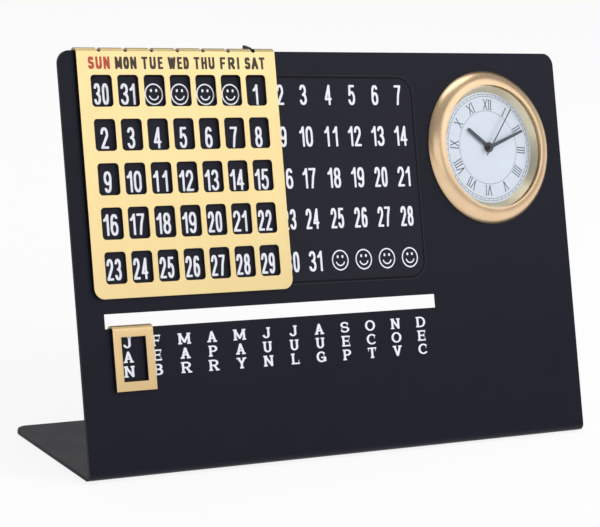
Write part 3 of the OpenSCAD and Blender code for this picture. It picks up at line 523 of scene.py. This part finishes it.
# Every sign is drawn in a box one wide and one high, along the middle of its strokes.
SIGNS = {
    "0": [arc(0.5, 0.68, 0.5, 0.32, 0, 180) + arc(0.5, 0.32, 0.5, 0.32, 180, 360) + [(1.0, 0.68)]],
    "1": [[(0.0, 0.74), (0.5, 0.82), (1.0, 1.0), (1.0, 0.0)]],
    "2": [arc(0.5, 0.72, 0.48, 0.28, 172, -28) + [(0.0, 0.0), (1.0, 0.0)]],
    "3": [arc(0.48, 0.755, 0.46, 0.245, 160, -90), arc(0.48, 0.255, 0.52, 0.255, 90, -160)],
    "4": [[(0.74, 0.0), (0.74, 1.0), (0.0, 0.27), (1.0, 0.27)]],
    "5": [[(0.93, 1.0), (0.17, 1.0), (0.08, 0.52)] + arc(0.47, 0.33, 0.53, 0.33, 140, -155, 14)],
    "6": SIX,
    "7": [[(0.0, 1.0), (1.0, 1.0), (0.62, 0.55), (0.4, 0.0)]],
    "8": [oval(0.5, 0.76, 0.44, 0.24), oval(0.5, 0.27, 0.5, 0.27)],
    "9": [[(1 - x, 1 - y) for x, y in stroke] for stroke in SIX],
    "A": [[(0.0, 0.0), (0.5, 1.0), (1.0, 0.0)], [(0.2, 0.32), (0.8, 0.32)]],
    "B": [
        [(0.0, 0.0), (0.0, 1.0)] + UPPER_BOWL_B + [(0.0, 0.52)],
        [(0.5, 0.52)] + LOWER_BOWL_B + [(0.0, 0.0)]],
    "C": [arc(0.52, 0.5, 0.52, 0.5, 48, 312, 18)],
    "D": [[(0.0, 0.0), (0.0, 1.0)] + arc(0.42, 0.5, 0.58, 0.5, 90, -90, 14) + [(0.0, 0.0)]],
    "E": [[(1.0, 1.0), (0.0, 1.0), (0.0, 0.0), (1.0, 0.0)], [(0.0, 0.52), (0.8, 0.52)]],
    "F": [[(1.0, 1.0), (0.0, 1.0), (0.0, 0.0)], [(0.0, 0.5), (0.78, 0.5)]],
    "G": [arc(0.52, 0.5, 0.52, 0.5, 48, 335, 18), [(0.6, 0.42), (1.0, 0.42), (1.0, 0.06)]],
    "H": [[(0.0, 0.0), (0.0, 1.0)], [(1.0, 0.0), (1.0, 1.0)], [(0.0, 0.52), (1.0, 0.52)]],
    "I": [[(0.5, 0.0), (0.5, 1.0)]],
    "J": [[(0.8, 1.0), (0.8, 0.28)] + arc(0.4, 0.26, 0.4, 0.26, 0, -170)],
    "L": [[(0.0, 1.0), (0.0, 0.0), (1.0, 0.0)]],
    "M": [[(0.0, 0.0), (0.0, 1.0), (0.5, 0.14), (1.0, 1.0), (1.0, 0.0)]],
    "N": [[(0.0, 0.0), (0.0, 1.0), (1.0, 0.0), (1.0, 1.0)]],
    "O": [oval(0.5, 0.5, 0.5, 0.5, 28)],
    "P": [[(0.0, 0.0), (0.0, 1.0)] + BOWL_P + [(0.0, 0.48)]],
    "R": [[(0.0, 0.0), (0.0, 1.0)] + BOWL_P + [(0.0, 0.48)], [(0.5, 0.48), (1.0, 0.0)]],
    "S": [arc(0.5, 0.745, 0.46, 0.255, 30, 255) + arc(0.5, 0.255, 0.5, 0.255, 75, -155)],
    "T": [[(0.0, 1.0), (1.0, 1.0)], [(0.5, 1.0), (0.5, 0.0)]],
    "U": [[(0.0, 1.0)] + arc(0.5, 0.34, 0.5, 0.34, 180, 360, 14) + [(1.0, 1.0)]],
    "V": [[(0.0, 1.0), (0.5, 0.0), (1.0, 1.0)]],
    "W": [[(0.0, 1.0), (0.26, 0.0), (0.5, 0.95), (0.74, 0.0), (1.0, 1.0)]],
    "X": [[(0.0, 1.0), (1.0, 0.0)], [(0.0, 0.0), (1.0, 1.0)]],
    "Y": [[(0.0, 1.0), (0.5, 0.46), (1.0, 1.0)], [(0.5, 0.46), (0.5, 0.0)]],
}

# Where a letter has feet: the middle of each.
FEET = {
    "A": [(0, 0), (1, 0)], "B": [(0, 0), (0, 1)], "D": [(0, 0), (0, 1)], "E": [(0, 0), (0, 1)],
    "F": [(0, 0), (0, 1)], "J": [(0.8, 1)], "L": [(0, 0), (0, 1)], "M": [(0, 0), (0, 1), (1, 0), (1, 1)],
    "N": [(0, 0), (0, 1), (1, 1)], "P": [(0, 0), (0, 1)], "R": [(0, 0), (0, 1), (1, 0)], "T": [(0.5, 0)],
    "U": [(0, 1), (1, 1)], "V": [(0, 1), (1, 1)], "Y": [(0, 1), (1, 1), (0.5, 0)], "I": [(0.5, 0), (0.5, 1)],
    "X": [(0, 0), (0, 1), (1, 0), (1, 1)],
}
# Where an arm ends in a short upright stroke: its start and how far it rises.
DROPS = {
    "C": [(0.87, 0.88, -0.26)], "E": [(1, 1, -0.24), (1, 0, 0.28), (0.8, 0.41, 0.22)],
    "F": [(1, 1, -0.26), (0.78, 0.39, 0.22)],
    "G": [(0.87, 0.88, -0.26)], "L": [(1, 0, 0.3)], "S": [(0.9, 0.87, -0.2), (0.04, 0.15, 0.2)],
    "T": [(0, 1, -0.26), (1, 1, -0.26)],
}


# Points of the ink's outlines nearer than JOIN millimetres become one.
JOIN = 1e-5


def sign_strokes(sign, width, height, pen, feet):
    """The strokes of one sign in millimetres, its lower left corner at zero, and those of its feet."""
    half_w, half_h = pen
    span_w = width - 2 * half_w
    span_h = height - 2 * half_h
    strokes = [[(half_w + x * span_w, half_h + y * span_h) for x, y in stroke] for stroke in SIGNS[sign]]
    if not feet:
        return strokes, []
    added = []
    for x, y in FEET.get(sign, ()):
        added.append([(half_w + x * span_w + side * feet, half_h + y * span_h) for side in (-1, 1)])
    for x, y, drop in DROPS.get(sign, ()):
        added.append([(half_w + x * span_w, half_h + (y + share * drop) * span_h) for share in (0, 1)])
    return strokes, added


def filled_in(points, shapes):
    """Shapes that may overlap, as one outline filled with triangles: (points, triangles)."""
    places, _, faces, _, _, sources = delaunay_2d_cdt(points, [], shapes, 0, JOIN)
    return [tuple(place) for place in places], [corner for corner, source in zip(faces, sources) if source]


def inked(strokes, pen, corners=12, square=0.0):
    """The outline filled by a nib along the strokes: (points, triangles). Square 0 is an oval nib, 1 a block."""
    half_w, half_h = pen
    nib = []
    for i in range(corners):
        turn = 2 * math.pi * (i + 0.5) / corners
        nib.append([
            half * math.copysign(abs(side) ** (1 - square), side)
            for half, side in ((half_w, math.cos(turn)), (half_h, math.sin(turn)))])
    points = []
    shapes = []
    for stroke in strokes:
        for start, end in zip(stroke, stroke[1:]):
            swept = [Vector((x + a, y + b)) for x, y in (start, end) for a, b in nib]
            hull = convex_hull_2d(swept)
            shapes.append([len(points) + i for i in range(len(hull))])
            points.extend(swept[i] for i in hull)
    return filled_in(points, shapes)


def raise_ink(mesh_parts, level, thickness, on):
    """Thin closed ink from flat outlines placed in the plane of on."""
    work = bmesh.new()
    for (points, triangles), placing in mesh_parts:
        used = sorted({i for corner in triangles for i in corner})
        floor_of = {}
        top_of = {}
        for i in used:
            spot = placing @ Vector((*points[i], 0))
            for layer, height in ((floor_of, level), (top_of, level + thickness)):
                layer[i] = work.verts.new((on @ Vector((spot.x, spot.y, height))) * MM)
        rims = {}
        for corner in triangles:
            for a, b in zip(corner, corner[1:] + corner[:1]):
                if (b, a) in rims:
                    del rims[(b, a)]
                else:
                    rims[(a, b)] = True
            work.faces.new([top_of[i] for i in corner])
            work.faces.new([floor_of[i] for i in reversed(corner)])
        for a, b in rims:
            work.faces.new([top_of[b], top_of[a], floor_of[a], floor_of[b]])
    mesh = bpy.data.meshes.new("ink")
    bmesh.ops.recalc_face_normals(work, faces=work.faces)
    work.to_mesh(mesh)
    work.free()
    return mesh


INK_T = 0.03
# How far the ink's underside lies within what carries it.
INK_SUNK = 0.004
# Half the nib's width and height for each kind of print, and how square its nib is.
DATE_PEN = (0.385, 0.36)
DATE_SQUARE = 0.5
CAPS_PEN = (0.39, 0.34)
CAPS_SQUARE = 0.8
MONTH_PEN = (0.42, 0.23)
MONTH_FOOT = 0.62
FOOT_NIB = 0.1
DATE_H = 6.3
DIGIT_W = 2.65
ONE_W = 1.85
PAIR_W = 5.04
PAIR_GAP = 0.5


def flat(sign, width, height, pen, feet=0.0, square=0.0):
    """One sign as filled outlines; its feet are drawn with a flatter nib."""
    strokes, added = sign_strokes(sign, width, height, pen, feet)
    points, triangles = inked(strokes, pen, square=square)
    if added:
        return merge_flats((points, triangles), inked(added, (FOOT_NIB, pen[1]), 8))
    return points, triangles


def merge_flats(first, second):
    """Two filled outlines as one, without overlaps."""
    points = [Vector(p) for p in first[0]] + [Vector(p) for p in second[0]]
    shift = len(first[0])
    return filled_in(points, [list(t) for t in first[1]] + [[i + shift for i in t] for t in second[1]])


def number_parts(number, x, y):
    """The digits of one number, centred on a place of the panel. Every pair of digits is equally wide."""
    word = str(number)
    if len(word) == 1:
        widths = [ONE_W if word == "1" else DIGIT_W]
    elif "1" in word:
        widths = [ONE_W if digit == "1" else PAIR_W - PAIR_GAP - ONE_W for digit in word]
    else:
        widths = [(PAIR_W - PAIR_GAP) / 2] * 2
    if len(word) == 1:
        lefts = [x - widths[0] / 2]
    else:
        lefts = [x - PAIR_W / 2, x + PAIR_W / 2 - widths[1]]
    return [
        (flat(digit, width, DATE_H, DATE_PEN, square=DATE_SQUARE), Matrix.Translation((left, y - DATE_H / 2, 0)))
        for digit, width, left in zip(word, widths, lefts)]


# Places of the columns and rows from the sheet's middle.
FIRST_COLUMN = -55.05
COLUMN_STEP = 9.145
# The ninth column is printed a little too near the eighth.
COLUMN_SLIPS = {8: -0.42}
DATE_ROW_Y = (26.0, 13.1, 0.23, -12.28, -25.32)
SMILE_SLIP = -0.12
SMILE_R = 3.0
SMILE_PEN = (0.21, 0.21)
EYE_PEN = (0.37, 0.37)
EYE_X = 0.92
EYE_Y = (1.0, 1.2)
smile = merge_flats(
    inked([oval(0, 0, SMILE_R, SMILE_R, 48), arc(0, -0.1, 1.6, 1.55, 200, 340, 12)], SMILE_PEN, 10),
    inked([[(x, y) for y in EYE_Y] for x in (-EYE_X, EYE_X)], EYE_PEN, 14))

DATE_ROWS = [
    [30, 31, None, None, None, None] + list(range(1, 8)),
    list(range(2, 15)),
    list(range(9, 22)),
    list(range(16, 29)),
    list(range(23, 32)) + [None] * 4,
]
date_parts = []
for row, numbers in enumerate(DATE_ROWS):
    y = DATE_ROW_Y[row]
    for column, number in enumerate(numbers):
        x = FIRST_COLUMN + COLUMN_STEP * column + COLUMN_SLIPS.get(column, 0)
        if number is None:
            date_parts.append((smile, Matrix.Translation((x + SMILE_SLIP, y, 0))))
        else:
            date_parts.extend(number_parts(number, x, y))

add_piece(
    "date_figures", raise_ink(date_parts, sheet_face - INK_SUNK, INK_T, ON_SHEET), white_ink, "stand")

MONTHS = ("JAN", "FEB", "MAR", "APR", "MAY", "JUN", "JUL", "AUG", "SEP", "OCT", "NOV", "DEC")
MONTH_X = (16.0, 25.93, 35.86, 45.7, 55.7, 65.6, 75.6, 85.4, 95.3, 105.1, 115.1, 125.2)
MONTH_TOPS = (41.55, 37.27, 33.05)
MONTH_H = 3.3
MONTH_LETTER_W = {
    "M": 4.6, "A": 3.6, "R": 3.8, "E": 3.3, "S": 3.3, "O": 3.9, "D": 3.75, "N": 3.75, "V": 3.65, "G": 3.6,
    "P": 3.2, "T": 3.5, "U": 3.4, "J": 2.9, "L": 3.2, "C": 3.5, "Y": 3.6, "B": 3.3, "F": 3.2,
}


def fitted(sign, width, height, pen, feet):
    """A sign drawn so that, with its feet, it is this wide, and centred from side to side."""
    first = flat(sign, width, height, pen, feet)
    too_wide = max(p[0] for p in first[0]) - min(p[0] for p in first[0]) - width
    points, triangles = flat(sign, width - too_wide, height, pen, feet)
    middle = (max(p[0] for p in points) + min(p[0] for p in points)) / 2
    return [(x - middle, y) for x, y in points], triangles


month_flats = {
    letter: fitted(letter, width, MONTH_H, MONTH_PEN, MONTH_FOOT) for letter, width in MONTH_LETTER_W.items()}
month_parts = [
    (month_flats[letter], Matrix.Translation((x, top - MONTH_H, 0)))
    for x, month in zip(MONTH_X, MONTHS) for letter, top in zip(month, MONTH_TOPS)]
add_piece("month_names", raise_ink(month_parts, -INK_SUNK, INK_T, ON_PANEL), white_ink, "stand")

DAYS = ("SUN", "MON", "TUE", "WED", "THU", "FRI", "SAT")
DAY_FOOT = 119.74
DAY_H = 3.66
DAY_FIRST = 13.14
DAY_STEP = 9.247
DAY_W = 7.45
# A name with an I is narrower by this much.
I_SAVES = 0.5
DAY_LETTER_W = {
    "S": 2.05, "U": 2.15, "N": 2.15, "M": 2.45, "O": 2.0, "T": 2.1, "E": 1.75, "W": 2.8, "D": 1.9, "H": 2.0,
    "F": 2.0, "R": 2.4, "I": 0.7, "A": 2.4,
}
day_flats = {
    letter: flat(letter, width, DAY_H, CAPS_PEN, square=CAPS_SQUARE) for letter, width in DAY_LETTER_W.items()}


def day_parts(day, x):
    """The letters of one weekday, spread evenly over the name's width."""
    widths = [DAY_LETTER_W[letter] for letter in day]
    name_w = DAY_W - (I_SAVES if "I" in day else 0)
    gap = (name_w - sum(widths)) / (len(day) - 1)
    left = x - name_w / 2
    parts = []
    for letter, width in zip(day, widths):
        parts.append((day_flats[letter], Matrix.Translation((left, DAY_FOOT, 0))))
        left += width + gap
    return parts


slider_face = face_height("date_slider")
sunday, *weekdays = (day_parts(day, DAY_FIRST + DAY_STEP * k) for k, day in enumerate(DAYS))
for name, parts, day_ink in (
        ("sunday_name", sunday, red_ink), ("weekday_names", sum(weekdays, []), brown_ink)):
    add_piece(name, raise_ink(parts, slider_face - INK_SUNK, INK_T, ON_PANEL), day_ink, "date_slider")


# ---- the dial's print ----

NUMERALS = ("XII", "I", "II", "III", "IIII", "V", "VI", "VII", "VIII", "IX", "X", "XI")
NUMERAL_W = {"I": 0.42, "V": 1.75, "X": 1.75}
NUMERAL_GAP = 0.42
NUMERAL_FOOT = 12.3
NUMERAL_H = 3.3
NUMERAL_PEN = (0.15, 0.07)
NUMERAL_SERIF = 0.3
numeral_flats = {
    sign: flat(sign, width, NUMERAL_H, NUMERAL_PEN, NUMERAL_SERIF) for sign, width in NUMERAL_W.items()}
# The minute track lies between the two radii of TRACK.
TRACK = (17.4, 16.6)
INNER_RING = 11.9
LINE_PEN = (0.055, 0.055)
DIAL_INK_T = 0.02

dial_face = face_height("dial", ON_CLOCK)
dial_parts = []
for hour, numeral in enumerate(NUMERALS):
    turn = Matrix.Rotation(-math.radians(30 * hour), 4, "Z")
    left = -(sum(NUMERAL_W[s] for s in numeral) + NUMERAL_GAP * (len(numeral) - 1)) / 2
    for sign in numeral:
        dial_parts.append((numeral_flats[sign], turn @ Matrix.Translation((left, NUMERAL_FOOT, 0))))
        left += NUMERAL_W[sign] + NUMERAL_GAP
track_strokes = [oval(0, 0, r, r, 120) for r in (*TRACK, INNER_RING)]
for minute in range(60):
    turn = math.radians(6 * minute)
    track_strokes.append([(r * math.sin(turn), r * math.cos(turn)) for r in TRACK])
dial_parts.append((inked(track_strokes, LINE_PEN, 6), Matrix.Identity(4)))
add_piece(
    "dial_print", raise_ink(dial_parts, dial_face - INK_SUNK, DIAL_INK_T, ON_CLOCK), dial_ink, "stand")


# ---- floor, light and camera ----

# How much of the floor's colour, where it is seen, is plain white.
FLOOR_WHITE = 0.87
FLOOR_R = 4.0
FLOOR_TOP = -0.0004


def floor_finish():
    """A pale floor, mostly plain white where it is seen directly, in a gloss or through the lens."""
    f = Finish("pale_floor")
    mottle = f.grain(180, 2)
    pale = f.blend(mottle, (0.9, 0.9, 0.9, 1), (0.94, 0.94, 0.94, 1))
    lit = f.surface(Base_Color=pale, Roughness=0.9, Specular_IOR_Level=0.1)
    ways = [
        f.node("ShaderNodeLightPath", out=way) for way in ("Is Camera Ray", "Is Glossy Ray", "Is Transmission Ray")]
    seen = f.node("ShaderNodeMath", {"operation": "MINIMUM"}, {0: ways[0] + ways[1] + ways[2], 1: 1.0})
    white = f.node("ShaderNodeEmission", {}, {"Color": (1, 1, 1, 1), "Strength": 1.0})
    return f.done(f.node("ShaderNodeMixShader", {}, {0: seen * FLOOR_WHITE, 1: lit, 2: white}))


floor_mesh = bpy.data.meshes.new("floor")
rim = [
    (FLOOR_R * math.cos(math.radians(a)), FLOOR_R * math.sin(math.radians(a)), FLOOR_TOP) for a in range(0, 360, 10)]
floor_mesh.from_pydata(rim, [], [list(range(len(rim)))])
floor_mesh.materials.append(floor_finish())
floor = bpy.data.objects.new("floor", floor_mesh)
bpy.context.scene.collection.objects.link(floor)

world = bpy.data.worlds.new("studio")
bpy.context.scene.world = world
world.use_nodes = True
room = Finish("studio", world.node_tree)
toward = room.node("ShaderNodeTexCoord", out="Generated")
rise = room.dot(toward, (0, 0, 1))
behind = room.dot(toward, (0.61, 0.79, 0))
# Grey levels by how high or how far behind one looks: pale at the horizon and behind the calendar, dimmer
# overhead and in front.
ROOM_STEPS = ((0.0, 0.8), (0.08, 0.7), (0.2, 0.34), (0.7, 0.34), (0.95, 0.5))
BEHIND_STEPS = ((0.15, 0.0), (0.5, 1.0))
BACKDROP_STEPS = ((0.12, 1.0), (0.4, 0.1))
backdrop = room.ramp(behind, *BEHIND_STEPS) * room.ramp(rise, *BACKDROP_STEPS)
room_colour = room.blend(backdrop, room.ramp(rise, *ROOM_STEPS), (1, 1, 1, 1))
soft_room = room.node("ShaderNodeBackground", {}, {"Color": room_colour, "Strength": 1.0})
room.node("ShaderNodeOutputWorld", {}, {"Surface": soft_room})

# The lamps look at the calendar's middle. All their lengths are in metres.
TARGET = Vector((0, 0, 0.055))


def soft_box(name, turn, rise, away, size, watts, mirrored=True):
    """A large soft lamp. Turn is degrees to the right of the calendar's front, rise degrees above the floor."""
    lamp_data = bpy.data.lights.new(name, "AREA")
    lamp_data.shape = "RECTANGLE"
    lamp_data.size, lamp_data.size_y = size
    lamp_data.energy = watts
    lamp = bpy.data.objects.new(name, lamp_data)
    side, up = math.radians(turn), math.radians(rise)
    from_target = Vector((math.sin(side) * math.cos(up), -math.cos(side) * math.cos(up), math.sin(up)))
    turned = (-from_target).to_track_quat("-Z", "Y").to_matrix().to_4x4()
    lamp.matrix_world = Matrix.Translation(TARGET + from_target * away) @ turned
    lamp.visible_glossy = mirrored
    bpy.context.scene.collection.objects.link(lamp)


soft_box("gilt_light", 35, 36, 1.2, (1.0, 0.78), 2.7)
soft_box("key_light", 63, 33, 1.1, (0.5, 0.5), 5.2, mirrored=False)
soft_box("fill_light", -30, 22, 1.3, (1.25, 0.6), 1.9)
soft_box("top_light", 160, 75, 1.2, (0.9, 0.6), 3.0)

# The camera stands where the photograph was taken, in front at the left and a little above.
CAMERA_PLACE = Vector((-485.6, -612.3, 262.6)) * MM
LOOK = Vector((0.58974, 0.76502, -0.25876)).normalized()
RIGHT = Vector((0.80652, -0.57442, 0.13988)).normalized()
UP = RIGHT.cross(LOOK)
camera_data = bpy.data.cameras.new("camera")
camera_data.lens = 157.0
camera_data.sensor_width = 36.0
camera = bpy.data.objects.new("camera", camera_data)
camera.matrix_world = Matrix((
    (RIGHT.x, UP.x, -LOOK.x, CAMERA_PLACE.x),
    (RIGHT.y, UP.y, -LOOK.y, CAMERA_PLACE.y),
    (RIGHT.z, UP.z, -LOOK.z, CAMERA_PLACE.z),
    (0, 0, 0, 1),
))
bpy.context.scene.collection.objects.link(camera)
bpy.context.scene.camera = camera
bpy.context.scene.view_settings.view_transform = "Standard"
